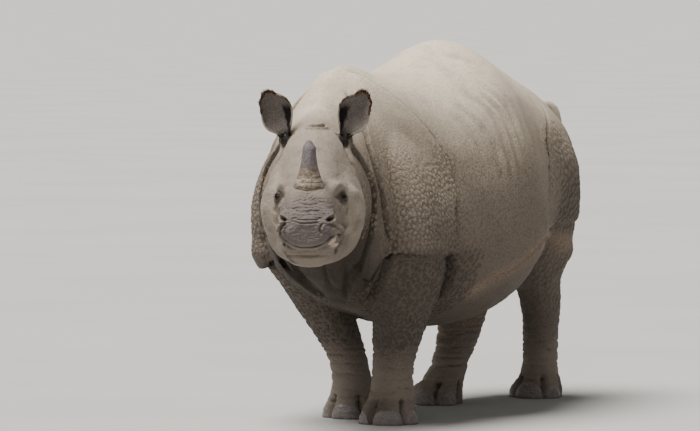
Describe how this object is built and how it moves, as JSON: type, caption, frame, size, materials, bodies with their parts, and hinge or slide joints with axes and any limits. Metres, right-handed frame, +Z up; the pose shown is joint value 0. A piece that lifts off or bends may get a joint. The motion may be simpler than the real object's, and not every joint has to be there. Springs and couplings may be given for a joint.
{
  "type": "greater one-horned rhinoceros",
  "caption": "Life-size standing rhinoceros with armour-like folds of hide and one horn, its head turned to its left.",
  "frame": {"origin": "on the floor, under the middle of the whole animal's box", "axes": "+Z up, the head towards -Y, the animal's left side towards +X"},
  "size_m": [1.1002, 2.9694, 1.7106],
  "materials": {
    "hide": "thick dry hide, pebbled with tubercles on the shoulders and thighs",
    "ear_hide": "thin dark hide with a fringe of hair",
    "horn_fibre": "worn fibrous keratin, rough at the base",
    "eye_dark": "moist, dark brown",
    "nail_grey": "worn keratin",
    "tail_bristle": "dark bristles"
  },
  "bodies": {
    "root": {"barrel": "hide", "ear_left": "ear_hide", "ear_right": "ear_hide", "eye_left": "eye_dark", "eye_right": "eye_dark", "fore_left_foot": "hide", "fore_left_lower": "hide", "fore_left_nail_inner": "nail_grey", "fore_left_nail_mid": "nail_grey", "fore_left_nail_outer": "nail_grey", "fore_left_upper": "hide", "fore_right_foot": "hide", "fore_right_lower": "hide", "fore_right_nail_inner": "nail_grey", "fore_right_nail_mid": "nail_grey", "fore_right_nail_outer": "nail_grey", "fore_right_upper": "hide", "forequarters": "hide", "head": "hide", "hind_left_foot": "hide", "hind_left_lower": "hide", "hind_left_nail_inner": "nail_grey", "hind_left_nail_mid": "nail_grey", "hind_left_nail_outer": "nail_grey", "hind_left_upper": "hide", "hind_right_foot": "hide", "hind_right_lower": "hide", "hind_right_nail_inner": "nail_grey", "hind_right_nail_mid": "nail_grey", "hind_right_nail_outer": "nail_grey", "hind_right_upper": "hide", "hindquarters": "hide", "horn": "horn_fibre", "lower_jaw": "hide", "neck": "hide", "tail": "hide", "tail_tip": "tail_bristle"}
  },
  "joints": []
}
